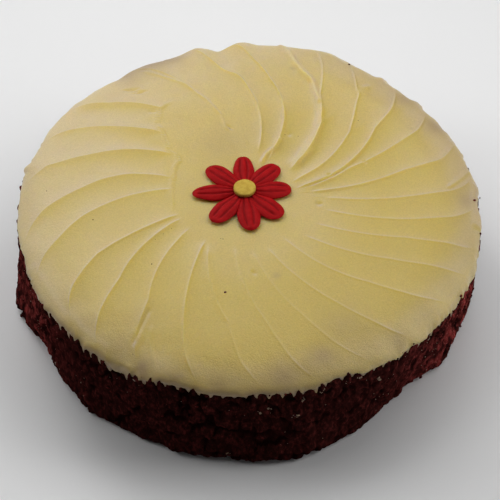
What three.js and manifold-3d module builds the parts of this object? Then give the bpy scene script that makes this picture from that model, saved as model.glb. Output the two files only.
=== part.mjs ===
// A red velvet cake: one round sponge layer with a finely fluted side, a cap of cream frosting that a
// palette knife has swirled, and a moulded sugar daisy in the middle.
// Millimetres, +Z up, front towards -Y. The origin is the middle of the base of the bounding box.
import * as THREE from "three";
import { mergeVertices } from "three/addons/utils/BufferGeometryUtils.js";
import Module from "manifold-3d";

const wasm = await Module();
wasm.setup();

// ---------------------------------------------------------------- driving dimensions, in millimetres
const RIM_RADIUS = 89; // outer edge of the frosting
const SPONGE_HEIGHT = 39.5; // mean height of the frosting's lower edge
const GAP = 0.3; // between neighbouring bodies

const BASE_RADIUS = 89.6; // mean radius of the sponge where it stands
const EDGE_OVERHANG = 0.9; // how far the frosting's edge stands out over the sponge
const BASE_ROUNDING = 1.6; // rounded corner at the foot of the side
const SIDE_WOBBLE = 0.5; // slow unevenness of the baked side

const FLUTES = 130; // fine upright pleats round the side
const FLUTE_DEPTH = 0.8;
const TOOTH_DROP = 1.1; // frosting hangs this far lower in a groove, and starts as much higher on a pleat
const TOOTH_UNEVENNESS = 0.3; // share of the drop that comes and goes round the cake

const DOME_CROWN = 3.1; // rise of the frosting's even crown
const SHOULDER_RISE = 6; // rise of its rounded shoulder
const SHOULDER_POWER = 11; // how late the shoulder turns down: higher is squarer
const LIP = 1.6; // thickness of the frosting's outermost edge

const STROKES = 26; // knife strokes round the swirl
const FIRST_CREST = -188.6; // direction of the first crest at 0.7 of the radius, in degrees
const LEAN = 43; // degrees a stroke moves forward over one radius, at the mean
const LEAN_SWING = 14; // how much more it is at the back, and less at the front
const CREST_HEIGHT = 0.75; // of a stroke's crest above the mean surface, and its trough below it
const STEEP_PART = 0.14; // part of a stroke's width that drops steeply behind the crest
const TROUGH_POWER = 1.6; // how hollow the rest of the stroke is

const PETALS = 8;
const PETAL_LENGTH = 18.9; // from the flower's middle to a tip
const PETAL_HALF_WIDTH = 4;
const PETAL_EDGE = 0.9; // thickness at the outline
const PETAL_CROWN = 1.5; // further thickness along the middle
const PETAL_RIB = 0.28; // height of the three lengthwise ribs over their grooves
const FLOWER_OFFSET = [-0.8, -1.3]; // of the flower's middle along X and Y
const FLOWER_TURN = 3; // of the first petal from +X, in degrees
const HUB_RADIUS = 5;
const HUB_HEIGHT = 1.8;
const BUTTON_RADIUS = 4.3; // the yellow middle
const BUTTON_HEIGHT = 1.8;
const BUTTON_SEAT = 2.3; // height of the button's underside over the flower's

// ---------------------------------------------------------------- where the cake is out of true
// Each entry is [angle in degrees from +X, size in mm, half-width in degrees].
const BASE_FEATURES = [
  [-22, -1.5, 6],
  [-47, -7.2, 15], // undercut at the front right
  [-85, 2.2, 7],
  [-152, -3.2, 9],
  [-166, 1.6, 5],
  [-175, 3.8, 13], // the side bulges over at the left
  [0, 1, 10], // and at the right
];
const RIM_FEATURES = [
  [5, 1.3, 3.5],
  [-4, 1.2, 8], // lip of frosting pushed out at the right
  [-17, 1.6, 6],
  [-156, -1, 8],
  [-175, -0.8, 8],
  [152, 0.8, 6],
  [105, 1.6, 3],
  [95, -1.4, 2.5], // nick in the bulge at the back
  [89.5, 1.8, 2.5],
  [78, 3.2, 20], // the whole edge bulges at the back
  [66, 1.6, 4],
];
// Heights: the frosting runs lower where the size is negative, and draws back where it is positive.
const EDGE_FEATURES = [
  [-18, -8, 5], // a tongue of frosting hangs low at the right
  [-30, -4, 6],
  [-40, -2.5, 5],
  [-52, -1.8, 3],
  [-69, 1.8, 4],
  [-95.5, -1.3, 4],
  [-121, -2.8, 4.5],
  [-137, 1.2, 3],
  [-151, 2.2, 7],
  [60, 1.5, 9],
  [150, -1.5, 7],
];

// ---------------------------------------------------------------- resolution
const COLUMNS = 2 * FLUTES; // one on each pleat and one in each groove
const PLAIN_COLUMNS = 52; // where a surface is smooth
const SIDE_LEVELS = [0.78, 0.52, 0.26, 0.07]; // parts of the side's height
const SWIRL_RADII = [0.37, 0.46, 0.57, 0.69, 0.8, 0.89, 0.95]; // parts of the rim radius
const DISC_RADII = [0.14, 0.29]; // in the smooth disc inside the swirl
const STROKE_SAMPLES = [0, STEEP_PART, 0.4, 0.65, 0.85]; // across one stroke
const INNER_RADIUS = 0.9; // of the plain ring where sponge and frosting lie flat on each other

const radians = THREE.MathUtils.degToRad;
const { clamp, lerp, smoothstep } = THREE.MathUtils;
const cosDegrees = (angle) => Math.cos(radians(angle));

function onRing(radius, angle, height) {
  return new THREE.Vector3(radius * cosDegrees(angle), radius * Math.sin(radians(angle)), height);
}

function evenRing(count, place) {
  return Array.from({ length: count }, (_, k) => place((360 * k) / count, k));
}

// Sum of rounded bumps and hollows, each [angle, size, half-width].
function features(list, angle) {
  return list.reduce((sum, [at, size, halfWidth]) => {
    const away = THREE.MathUtils.euclideanModulo(angle - at + 180, 360) - 180;
    return sum + size * Math.exp(-((away / halfWidth) ** 2));
  }, 0);
}

// ---------------------------------------------------------------- the cake's outline and edge line
const slide = (angle) => features(EDGE_FEATURES, angle);
const rimRadius = (angle) => RIM_RADIUS + features(RIM_FEATURES, angle) - Math.max(0, slide(angle)) / 2;

// Height of the frosting's lower edge. A tooth hangs in every groove, at odd k, whole for a share of 1.
function edgeHeight(angle, k, share = 1) {
  const slow = slide(angle);
  const strength = 1 - TOOTH_UNEVENNESS + TOOTH_UNEVENNESS * cosDegrees(7 * angle + 40);
  const tooth = (k % 2 ? -TOOTH_DROP : TOOTH_DROP) * strength;
  return SPONGE_HEIGHT + (slow > 0 ? slow / 2 : slow) + tooth * share;
}

const fluteRelief = (k) => (k % 2 ? -FLUTE_DEPTH : FLUTE_DEPTH) / 2;

// Radius of the sponge at a part (0 to 1) of its height.
function spongeRadius(angle, k, part) {
  const foot = BASE_RADIUS + features(BASE_FEATURES, angle);
  const top = rimRadius(angle) - EDGE_OVERHANG;
  const wobble = SIDE_WOBBLE * Math.cos(radians(23 * angle) + 9 * part) * Math.sin(Math.PI * part);
  return lerp(foot, top, smoothstep(part, -0.35, 1)) + wobble + fluteRelief(k);
}

// ---------------------------------------------------------------- closed bodies grown ring by ring
// Two neighbouring rings of one count are joined point to point, so a crest stays a crest.
function joinRings(first, second, triangles) {
  first.forEach((a, i) => {
    const next = (i + 1) % first.length;
    triangles.push(a, second[i], second[next], a, second[next], first[next]);
  });
}

// Two that differ in count are joined by walking both by angle.
function zipRings(points, first, second, triangles) {
  const azimuth = (index) => Math.atan2(points[index].y, points[index].x);
  const start = azimuth(first[0]);
  const turned = (index) => {
    const turn = azimuth(index) - start;
    return turn - 2 * Math.PI * Math.round(turn / (2 * Math.PI));
  };
  const before = second.map(turned).map((turn) => (turn > 0 ? turn - 2 * Math.PI : turn));
  const last = before.indexOf(Math.max(...before)); // the last point before the first ring's start
  const inner = unwrap(first, azimuth);
  const outer = unwrap([...second.slice(last), ...second.slice(0, last)], azimuth);
  const shift = turned(outer.ring[0]);
  let i = 0;
  let j = 0;
  while (i < first.length || j < second.length) {
    const innerIsFirst = inner.turns[i + 1] < outer.turns[j + 1] + shift;
    const innerIsNext = j === second.length || (i < first.length && innerIsFirst);
    const a = inner.ring[i % first.length];
    const b = outer.ring[j % second.length];
    if (innerIsNext) i += 1;
    else j += 1;
    const c = innerIsNext ? inner.ring[i % first.length] : outer.ring[j % second.length];
    triangles.push(a, b, c);
  }
}

// A ring's angles from its own first point, growing to a full turn at the end.
function unwrap(ring, azimuth) {
  const turns = [0];
  for (let i = 1; i <= ring.length; i += 1) {
    const step = azimuth(ring[i % ring.length]) - azimuth(ring[i - 1]);
    turns.push(turns[i - 1] + step - 2 * Math.PI * Math.round(step / (2 * Math.PI)));
  }
  return { ring, turns };
}

// Skins a body from its top point, out over its rings and in again to its bottom point.
function ringBody(top, rings, bottom) {
  const points = [top];
  const triangles = [];
  const indexed = rings.map((ring) => ring.map((point) => points.push(point) - 1));
  const last = points.push(bottom) - 1;
  const fan = (ring, tip, facingUp) =>
    ring.forEach((index, i) => {
      const next = ring[(i + 1) % ring.length];
      triangles.push(tip, ...(facingUp ? [index, next] : [next, index]));
    });
  fan(indexed[0], 0, true);
  for (let i = 1; i < indexed.length; i += 1) {
    const [first, second] = [indexed[i - 1], indexed[i]];
    if (first.length === second.length) joinRings(first, second, triangles);
    else zipRings(points, first, second, triangles);
  }
  fan(indexed.at(-1), last, false);
  const geometry = new THREE.BufferGeometry().setFromPoints(points);
  geometry.setIndex(triangles);
  geometry.computeVertexNormals();
  return geometry;
}

// ---------------------------------------------------------------- sponge
// The two rings that frosting and sponge share, one lying `drop` below the other.
const seamRing = (drop) =>
  evenRing(COLUMNS, (angle, k) => onRing(spongeRadius(angle, k, 1), angle, edgeHeight(angle, k) - drop));
const restRing = (drop) =>
  evenRing(PLAIN_COLUMNS, (angle) =>
    onRing(INNER_RADIUS * RIM_RADIUS, angle + 180 / PLAIN_COLUMNS, SPONGE_HEIGHT - drop),
  );

function spongeGeometry() {
  const side = SIDE_LEVELS.map((part) =>
    evenRing(COLUMNS, (angle, k) => onRing(spongeRadius(angle, k, part), angle, part * SPONGE_HEIGHT)),
  );
  const foot = evenRing(COLUMNS, (angle, k) => onRing(spongeRadius(angle, k, 0) - BASE_ROUNDING, angle, 0));
  const top = new THREE.Vector3(0, 0, SPONGE_HEIGHT - GAP);
  return ringBody(top, [restRing(GAP), seamRing(GAP), ...side, foot], new THREE.Vector3());
}

// ---------------------------------------------------------------- frosting
// Angle of a stroke's crest at 0.7 of the radius. Stroke numbers may be fractions.
// The strokes lie closest at the right and widest at the back left.
function strokeAngle(stroke) {
  const turn = (360 * stroke) / STROKES;
  return turn + FIRST_CREST + 11.5 * cosDegrees(turn - 73) + 1.6 * cosDegrees(2 * turn + 26);
}

// Each stroke leans forward on its way out, most at the back, and hooks forward at the rim.
function pathAngle(stroke, radius) {
  const angle = strokeAngle(stroke);
  const lean = LEAN + LEAN_SWING * cosDegrees(angle - 100);
  const hook = 150 * Math.max(0, radius - 0.8) ** 2;
  return angle + lean * (radius - 0.7) + hook;
}

// Height of the smooth dome over the sponge.
function domeHeight(radius) {
  return DOME_CROWN * (1 - radius ** 2) + SHOULDER_RISE * (1 - radius ** SHOULDER_POWER);
}

// Across a stroke, from one crest to the next: a steep drop, then a hollow that climbs again.
function strokeRelief(across) {
  if (across < STEEP_PART) return lerp(1, -1, across / STEEP_PART);
  const climb = (across - STEEP_PART) / (1 - STEEP_PART);
  return lerp(-1, 1, climb ** TROUGH_POWER);
}

function swirlRing(radius) {
  const depth = CREST_HEIGHT * smoothstep(radius, 0.26, 0.45) * clamp((1 - radius) / 0.08, 0, 1);
  const columns = STROKES * STROKE_SAMPLES.length;
  return Array.from({ length: columns }, (_, k) => {
    const across = STROKE_SAMPLES[k % STROKE_SAMPLES.length];
    const angle = pathAngle(Math.floor(k / STROKE_SAMPLES.length) + across, radius);
    const sag = (smoothstep(radius, 0.85, 1) * slide(angle)) / 2; // the rim follows the edge line
    const height = SPONGE_HEIGHT + domeHeight(radius) + depth * strokeRelief(across) + sag;
    return onRing(radius * rimRadius(angle), angle, height);
  });
}

function frostingGeometry() {
  const disc = DISC_RADII.map((radius) =>
    evenRing(STROKES, (angle) => onRing(radius * RIM_RADIUS, angle, SPONGE_HEIGHT + domeHeight(radius))),
  );
  const lipRing = (inset, share, rise) =>
    evenRing(COLUMNS, (angle, k) => {
      return onRing(rimRadius(angle) - inset, angle, edgeHeight(angle, k, share) + rise);
    });
  const top = new THREE.Vector3(0, 0, SPONGE_HEIGHT + domeHeight(0));
  const lip = [lipRing(0, 0.3, LIP), lipRing(0.2, 1, 0)];
  const rings = [...disc, ...SWIRL_RADII.map(swirlRing), ...lip, seamRing(0), restRing(0)];
  return ringBody(top, rings, new THREE.Vector3(0, 0, SPONGE_HEIGHT));
}

// ---------------------------------------------------------------- sugar daisy
const PETAL_STATIONS = [0.12, 0.3, 0.5, 0.7, 0.86, 0.97]; // parts of a petal's length
const PETAL_LANES = 6; // spaces across a petal: a point on each rib, in each groove and at each side

// A pointed oval: widest beyond the middle, narrow at the root, with a blunt tip.
const petalHalfWidth = (along) => PETAL_HALF_WIDTH * Math.sin(Math.PI * along ** 1.35) ** 0.62;

// The petal's top: crowned across, with three ribs, sinking from its root to its tip.
function petalHeight(along, across) {
  const fall = lerp(1, 0.35, along ** 2) * smoothstep(along, 0, 0.45);
  const crown = PETAL_CROWN * fall * (1 - across ** 2);
  const ribs = PETAL_RIB * Math.cos(3 * Math.PI * across) * (1 - across ** 4) * Math.sin(Math.PI * along);
  return PETAL_EDGE + crown + ribs;
}

function manifoldOf(geometry) {
  const bare = new THREE.BufferGeometry().setAttribute("position", geometry.getAttribute("position"));
  bare.setIndex(geometry.getIndex());
  const merged = mergeVertices(bare, 1e-4);
  const vertProperties = merged.getAttribute("position").array;
  const triVerts = new Uint32Array(merged.getIndex().array);
  return new wasm.Manifold(new wasm.Mesh({ numProp: 3, vertProperties, triVerts }));
}

function geometryOf(manifold) {
  const mesh = manifold.getMesh();
  const geometry = new THREE.BufferGeometry();
  geometry.setAttribute("position", new THREE.BufferAttribute(mesh.vertProperties, 3));
  geometry.setIndex(new THREE.BufferAttribute(mesh.triVerts, 1));
  return geometry;
}

// One petal along +X: a ribbed top, a flat underside and an upright edge, closed at root and tip.
function petalGeometry() {
  const points = [];
  const triangles = [];
  const addRow = (along, lanes, heightAt) =>
    Array.from({ length: lanes + 1 }, (_, j) => {
      const across = (2 * j) / lanes - 1;
      const y = across * petalHalfWidth(along);
      return points.push(new THREE.Vector3(along * PETAL_LENGTH, y, heightAt(along, across))) - 1;
    });
  const quad = (a, b, c, d) => triangles.push(a, b, c, a, c, d);
  const upper = PETAL_STATIONS.map((along) => addRow(along, PETAL_LANES, petalHeight));
  const lower = PETAL_STATIONS.map((along) => addRow(along, 1, () => 0));
  for (let i = 1; i < PETAL_STATIONS.length; i += 1) {
    for (let j = 1; j <= PETAL_LANES; j += 1) {
      quad(upper[i - 1][j - 1], upper[i][j - 1], upper[i][j], upper[i - 1][j]);
    }
    quad(lower[i - 1][0], lower[i - 1][1], lower[i][1], lower[i][0]);
    quad(lower[i - 1][0], lower[i][0], upper[i][0], upper[i - 1][0]);
    quad(lower[i][1], lower[i - 1][1], upper[i - 1][PETAL_LANES], upper[i][PETAL_LANES]);
  }
  // The two ends are fans from a lower corner.
  const [root, tip] = [upper[0], upper.at(-1)];
  const [rootLow, tipLow] = [lower[0], lower.at(-1)];
  for (let j = 1; j <= PETAL_LANES; j += 1) {
    triangles.push(rootLow[0], root[j - 1], root[j]);
    triangles.push(tipLow[0], tip[j], tip[j - 1]);
  }
  triangles.push(rootLow[0], root[PETAL_LANES], rootLow[1]);
  triangles.push(tipLow[0], tipLow[1], tip[PETAL_LANES]);
  const geometry = new THREE.BufferGeometry().setFromPoints(points);
  geometry.setIndex(triangles);
  return geometry;
}

function flowerGeometry() {
  const petal = manifoldOf(petalGeometry());
  const disc = new THREE.CylinderGeometry(HUB_RADIUS, HUB_RADIUS, HUB_HEIGHT, 32);
  disc.rotateX(Math.PI / 2).translate(0, 0, HUB_HEIGHT / 2);
  let flower = manifoldOf(disc);
  for (let i = 0; i < PETALS; i += 1) {
    flower = flower.add(petal.rotate([0, 0, (360 * i) / PETALS + FLOWER_TURN]));
  }
  return geometryOf(flower);
}

// A low round button with a domed top and rounded shoulder, turned about Z.
function buttonGeometry() {
  const profile = [
    new THREE.Vector2(0, 0),
    new THREE.Vector2(BUTTON_RADIUS * 0.94, 0),
    new THREE.Vector2(BUTTON_RADIUS, BUTTON_HEIGHT * 0.3),
    new THREE.Vector2(BUTTON_RADIUS * 0.97, BUTTON_HEIGHT * 0.65),
    new THREE.Vector2(BUTTON_RADIUS * 0.84, BUTTON_HEIGHT * 0.88),
    new THREE.Vector2(BUTTON_RADIUS * 0.45, BUTTON_HEIGHT * 0.98),
    new THREE.Vector2(0, BUTTON_HEIGHT),
  ];
  return new THREE.LatheGeometry(profile, 32).rotateX(Math.PI / 2);
}

// ---------------------------------------------------------------- the cake
function named(name, geometry, color, roughness) {
  const mesh = new THREE.Mesh(geometry, new THREE.MeshStandardMaterial({ color, roughness, metalness: 0 }));
  mesh.name = name;
  return mesh;
}

const sponge = named("sponge", spongeGeometry(), 0x3a0f0d, 0.85);
const frosting = named("frosting", frostingGeometry(), 0xdccb8c, 0.55);
const flower = named("flower", flowerGeometry(), 0x9a1d20, 0.6);
const button = named("flower_centre", buttonGeometry(), 0xd2b048, 0.75);

const FLOWER_HEIGHT = SPONGE_HEIGHT + domeHeight(0) + GAP;
const daisy = new THREE.Group();
daisy.position.set(...FLOWER_OFFSET, FLOWER_HEIGHT);
button.position.z = BUTTON_SEAT;
daisy.add(flower, button);

const cake = new THREE.Group();
cake.add(sponge, frosting, daisy);

// Put the origin under the middle of the whole.
const middle = new THREE.Box3().setFromObject(cake).getCenter(new THREE.Vector3());
for (const piece of cake.children) {
  piece.position.x -= middle.x;
  piece.position.y -= middle.y;
}

export default cake;
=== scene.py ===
"""The looks of a red velvet cake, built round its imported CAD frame.

One fluted, crumbly sponge layer, a cap of cream frosting swirled by a palette knife, and a moulded sugar
daisy. Shapes are in millimetres until their mesh is made. Angles are degrees anticlockwise from +X, seen
from above, with the front at -90. Radii of the swirl are parts of the rim's radius.
"""

import bmesh
import bpy
import numpy as np
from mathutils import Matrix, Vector


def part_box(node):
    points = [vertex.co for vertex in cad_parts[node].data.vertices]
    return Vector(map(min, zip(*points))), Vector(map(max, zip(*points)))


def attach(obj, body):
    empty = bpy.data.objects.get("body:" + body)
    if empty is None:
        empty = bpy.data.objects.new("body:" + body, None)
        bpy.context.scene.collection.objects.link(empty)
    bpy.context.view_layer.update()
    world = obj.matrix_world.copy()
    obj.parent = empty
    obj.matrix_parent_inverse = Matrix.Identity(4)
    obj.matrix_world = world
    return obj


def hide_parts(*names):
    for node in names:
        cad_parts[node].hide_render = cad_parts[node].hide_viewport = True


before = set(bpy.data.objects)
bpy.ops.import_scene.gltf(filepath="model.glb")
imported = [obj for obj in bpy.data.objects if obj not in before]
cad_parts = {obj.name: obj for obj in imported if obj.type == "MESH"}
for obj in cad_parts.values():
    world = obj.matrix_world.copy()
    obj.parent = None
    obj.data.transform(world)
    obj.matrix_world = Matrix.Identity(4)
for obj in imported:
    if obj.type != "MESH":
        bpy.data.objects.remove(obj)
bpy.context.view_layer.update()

MM = 0.001  # metres in a millimetre


def box_mm(node):
    """Lowest and highest corner of a CAD node, in millimetres."""
    return [np.array(corner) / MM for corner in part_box(node)]


# ---- sizes, in millimetres
FROSTING_LOW = box_mm("frosting")[0]
FLOWER_LOW = box_mm("flower")[0]
BUTTON_LOW, BUTTON_HIGH = box_mm("flower_centre")

GAP = 0.3  # between neighbouring CAD bodies
FLOWER_OFFSET = (-0.8, -1.3)  # of the flower's middle from the cake's axis
DOME_CROWN = 3.1  # rise of the frosting's even crown
SHOULDER_RISE = 6  # rise of its rounded shoulder
SHOULDER_POWER = 11  # the higher, the closer to the rim it rounds over
FAR_LEFT_INSET = 0.5  # how far the CAD's far left lies inside the true rim

FLOWER_MIDDLE = (BUTTON_LOW[:2] + BUTTON_HIGH[:2]) / 2
AXIS = FLOWER_MIDDLE - FLOWER_OFFSET
RIM_RADIUS = AXIS[0] - FROSTING_LOW[0] + FAR_LEFT_INSET
DOME_TOP = FLOWER_LOW[2] - GAP
SEAM_HEIGHT = DOME_TOP - DOME_CROWN - SHOULDER_RISE

BASE_RADIUS = 89.6
EDGE_OVERHANG = 0.9  # of the frosting over the sponge
FLUTES = 130

# Where the cake is out of true: (angle, size in mm, half-width in degrees).
BASE_FEATURES = [
    (-22, -1.5, 6), (-43, -1.3, 3), (-47, -7.2, 15), (-75, 1.5, 7), (-85, 2.2, 7), (-107, 1.8, 2),
    (-131, 1.5, 3), (-152, -3.2, 9), (-166, 1.6, 5), (-175, 3.8, 13), (0, 1, 10),
]
RIM_FEATURES = [
    (5, 1.3, 3.5), (-4, 1.2, 8), (-17, 1.6, 6), (12, 1, 8), (38, 1, 1.5), (50, 1.7, 1.5), (66, 1.6, 4),
    (70, 1, 4), (78, 3.2, 20), (91, 2.4, 2.5), (96.5, -2.2, 2.5), (103, 2.4, 3), (119, 0.9, 4),
    (126, -0.8, 2.5), (145, 0.5, 8), (152, 0.6, 6), (161, -0.9, 3), (167.5, 0.9, 1.2), (-175, -0.8, 8),
]
EDGE_FEATURES = [
    (-19, -8.5, 6), (-29.5, -6.5, 5), (-41, -3, 5), (-52, -1.8, 3), (-64.5, 1, 2), (-69, 1.8, 4),
    (-76, -1, 2.5), (-88.5, 1, 3), (-95.5, -1.3, 4), (-107, 1.3, 7), (-121, -2.8, 4.5), (-132, -1.5, 3),
    (-137, 1.2, 3), (-154, 1.2, 6), (-163, 3, 4), (60, 1.5, 9), (150, -1.5, 7),
]
TALL_PLEATS = [(-117, 1.2, 1.3), (-134, 0.6, 1.2), (-77.3, 0.5, 1.3), (-53, 0.6, 1.4), (-24, 0.6, 1.5)]
SMOOTH_STRETCHES = [(-94.5, -0.85, 4), (-59, -0.5, 3), (-14, -0.7, 7)]  # where frosting runs over the pleats
SEAM_SHIFT = -0.9  # of the line between frosting and sponge over the CAD's
TIP_RISE = 1.25  # height of a strong pleat's tip over it
TOOTH_DROP = 3.4  # how far below it the frosting hangs in a deep groove
LONG_TEETH = [(-145, 0.5, 18), (-35, 0.3, 12)]  # and how much longer its teeth are at some places
DEEP_GROOVE = 1.3  # depth of such a groove


# ---- mathematics
def smoothstep(value, low, high):
    part = np.clip((value - low) / (high - low), 0, 1)
    return part * part * (3 - 2 * part)


def lerp(low, high, part):
    return low + (high - low) * part


def degrees_apart(angle, other):
    """Signed difference of two angles, from -180 to 180."""
    return (angle - other + 180) % 360 - 180


def bell(distance, half_width):
    """1 at no distance, easing to 0 some way past the half-width."""
    return np.exp(-((distance / half_width) ** 2))


def features(entries, angle):
    """Sum of rounded bumps and hollows round the cake."""
    return sum(size * bell(degrees_apart(angle, at), half) for at, size, half in entries)


def hash_unit(x, y, z, seed):
    """A repeatable number from 0 to 1 for each lattice point."""
    mixed = (x * 374761393 + y * 668265263 + z * 2147483647 + seed * 974634777) & 0xFFFFFFFF
    mixed = ((mixed ^ (mixed >> 13)) * 1274126177) & 0xFFFFFFFF
    return ((mixed ^ (mixed >> 16)) & 0xFFFFFF) / 0xFFFFFF


def noise(points, size, seed):
    """Smooth random field over space, -1 to 1, with lumps about `size` across."""
    lattice = points / size
    cell = np.floor(lattice).astype(np.int64)
    inside = lattice - cell
    inside = inside**3 * (inside * (inside * 6 - 15) + 10)
    total = np.zeros(points.shape[:-1])
    for corner in np.ndindex(2, 2, 2):
        weight = np.prod(np.where(corner, inside, 1 - inside), axis=-1)
        total += weight * hash_unit(*np.moveaxis(cell + corner, -1, 0), seed)
    return 2 * total - 1


def shake(points, size, seed):
    """A random vector for each point, each part of it -1 to 1."""
    return np.stack([noise(points, size, seed + k) for k in range(3)], axis=-1)


def polar(radius, angle, *height):
    """x and y of points round the origin, and z where a height is given."""
    turn = np.radians(angle)
    parts = np.broadcast_arrays(radius * np.cos(turn), radius * np.sin(turn), *height)
    return np.stack(parts, axis=-1)


def facing(angle, towards, low, high):
    """0 to 1 as the cosine of an angle from a direction goes from `low` to `high`."""
    return smoothstep(np.cos(np.radians(angle - towards)), low, high)


# ---- meshes
def add_object(name, data):
    thing = bpy.data.objects.new(name, data)
    bpy.context.scene.collection.objects.link(thing)
    return thing


def make_object(name, body, **attributes):
    """A smooth mesh object from points in millimetres and faces, with named numbers at its points."""
    points, faces = body
    mesh = bpy.data.meshes.new(name)
    mesh.from_pydata((np.asarray(points) * MM).tolist(), [], faces)
    mesh.shade_smooth()
    for key, values in attributes.items():
        layer = mesh.attributes.new(key, "FLOAT", "POINT")
        layer.data.foreach_set("value", np.array(np.broadcast_to(values, len(points)), np.float32))
    mesh.update()
    return add_object(name, mesh)


def closed_rings(grid, top, bottom):
    """Points and faces of a body whose rings run from its top point, out and down, to its bottom point."""
    rings, columns = grid.shape[:2]
    points = np.concatenate([grid.reshape(-1, 3), [top], [bottom]])
    index = np.arange(rings * columns).reshape(rings, columns)
    after = np.roll(index, -1, axis=1)
    quads = np.stack([index[:-1], index[1:], after[1:], after[:-1]], axis=-1).reshape(-1, 4)
    first = np.full(columns, rings * columns)
    upper = np.stack([first, index[0], after[0]], axis=-1)
    lower = np.stack([first + 1, after[-1], index[-1]], axis=-1)
    return points, [*quads.tolist(), *upper.tolist(), *lower.tolist()]


# ---- outline of the cake
def slide(angle):
    """How far the frosting's edge has run down (negative) or drawn back (positive)."""
    return features(EDGE_FEATURES, angle)


def rim_radius(angle):
    return RIM_RADIUS + features(RIM_FEATURES, angle) - np.maximum(0, slide(angle)) / 2


def flute_turn(angle):
    """The angle counted in unevenly spaced flutes, with a pleat at each whole number."""
    around = polar(40, angle, 0)
    return FLUTES * angle / 360 + 0.45 * noise(around, 6, 11) + 0.22 * noise(around, 2.2, 12)


def flute_strength(turn):
    """How marked each pleat is, 0.3 to 1.3."""
    whole = np.round(turn).astype(np.int64)
    left, here, right = (hash_unit(whole + step, 0, 0, 21) for step in (-1, 0, 1))
    beside = turn - whole
    return 0.3 + np.where(beside > 0, lerp(here, right, beside), lerp(here, left, -beside))


def pleats(angle):
    """How far the sponge stands out (above 0) or in: pleats are broad and round, and grooves narrow."""
    turn = flute_turn(angle)
    wave = 2 * np.abs(np.cos(np.pi * turn)) - 1
    stand = wave * flute_strength(turn) + features(TALL_PLEATS, angle)
    return stand * (1 + features(SMOOTH_STRETCHES, angle))


def seam_line(angle):
    """Height of the line where frosting and sponge meet, before its teeth."""
    slow = slide(angle)
    around = polar(RIM_RADIUS, angle, 0)
    uneven = 0.5 * noise(around, 9, 13) + 0.3 * noise(around, 3, 14)
    return SEAM_HEIGHT + SEAM_SHIFT + np.where(slow > 0, slow / 2, slow) + uneven


def pleat_tips(angle):
    """Height at which each pleat rounds over under the frosting."""
    return seam_line(angle) + TIP_RISE * np.clip(pleats(angle), -0.4, 1.6)


def tooth_ends(angle):
    """Height at which the frosting ends: deep in each groove, and soon on a pleat."""
    drop = TOOTH_DROP * (1 + features(LONG_TEETH, angle))
    return seam_line(angle) - 0.4 - drop * np.sqrt(np.clip(-pleats(angle) / DEEP_GROOVE, 0, 1))


def dome_height(radius):
    """Height of the smooth frosting over the seam, at a part of the rim's radius."""
    return DOME_CROWN * (1 - radius**2) + SHOULDER_RISE * (1 - radius**SHOULDER_POWER)


# ---- sponge
SPONGE_COLUMNS = 1080
SIDE_RINGS = 84
SIDE_PARTS = 1 - 0.965 * np.linspace(0, 1, SIDE_RINGS) ** 1.1  # of its height, closest together at the top
UNDERSIDE = [(0.6, 0.6), (1.4, 0), (8, 0), (40, 0)]  # mm in from the side's foot, and height
FOOT_ROUNDING, FOOT_HEIGHT = 1.6, 3  # how far the foot draws in, and from which height down
FLUTE_DEPTH_LOW, FLUTE_DEPTH_HIGH = 0.15, 0.95  # at the foot and at the top of the side
CHUNK_DEPTH = 1.1  # of the stepped pieces that have broken out of the foot
CHUNK_FLUTES = 2.3  # the width of such a piece
TIP_ROUNDING = 1.2  # height over which a pleat's tip rounds over
TIP_TUCK = 2.2  # how far it draws in under the frosting
UPRIGHT = 0.6  # crumb and crevices are taller than wide by one over this
CREVICE_DEPTH = 1.5
# Painted light: where the side's crumb is drawn brighter on its lit flanks and back: (angle, strength,
# half-width in degrees).
LIT_FLANKS = [(-38, 0.45, 12), (-22, 1, 9), (-158, 0.62, 14), (-178, 0.45, 10), (60, 0.4, 60)]


def lump_relief(points):
    """Slow lumps of the baked side, in mm outward."""
    return 0.6 * noise(points, 9, 53) + 0.45 * noise(points, 4.5, 54)


def crumb_relief(points):
    """Crumb on those lumps, and the winding crevices between its clumps, in mm outward."""
    points = points * (1, 1, UPRIGHT)
    bent = points + 0.9 * shake(points, 2.5, 57)
    crumbs = 0.4 * noise(bent, 2.3, 55) + 0.24 * noise(bent, 1.2, 56)
    crevice = np.clip(1 - np.abs(noise(bent, 4.6, 52)) / 0.22, 0, 1)
    open_there = smoothstep(noise(points, 5.5, 60), -0.25, 0.35)
    return crumbs - CREVICE_DEPTH * crevice * open_there


def sponge_outline(angle, part):
    """Radius of the baked side at a part (0 to 1) of its height, before flutes and crumb."""
    foot = BASE_RADIUS + features(BASE_FEATURES, angle)
    top = rim_radius(angle) - EDGE_OVERHANG
    chunk = np.floor(flute_turn(angle) / CHUNK_FLUTES).astype(np.int64)
    broken = CHUNK_DEPTH * (hash_unit(chunk, 0, 0, 22) - 0.5) * np.clip(1 - 2 * part, 0, 1)
    return lerp(foot, top, smoothstep(part, -0.35, 1)) + broken


def sponge_side(angle, height):
    """Radius of the side without its crumb at given angles and heights."""
    part = height / SEAM_HEIGHT
    outline = sponge_outline(angle, part)
    depth = lerp(FLUTE_DEPTH_LOW, FLUTE_DEPTH_HIGH, np.clip(part, 0, 1) ** 3)
    return outline + depth * np.minimum(pleats(angle), 1.1) + lump_relief(polar(outline, angle, height))


def sponge_ring(angle, part):
    """A ring of the side at a part of its height, and how far its crumb stands out."""
    top = pleat_tips(angle)
    height = top * part
    radius = sponge_side(angle, height)
    crumb = crumb_relief(polar(radius, angle, height))
    under = smoothstep(height, top - TIP_ROUNDING, top)
    tuck = TIP_TUCK * (1 - np.sqrt(1 - np.minimum(under, 0.999) ** 2))
    foot = FOOT_ROUNDING * (1 - smoothstep(height, 0, FOOT_HEIGHT)) ** 2
    return polar(radius + crumb - tuck - foot, angle, height), crumb


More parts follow.
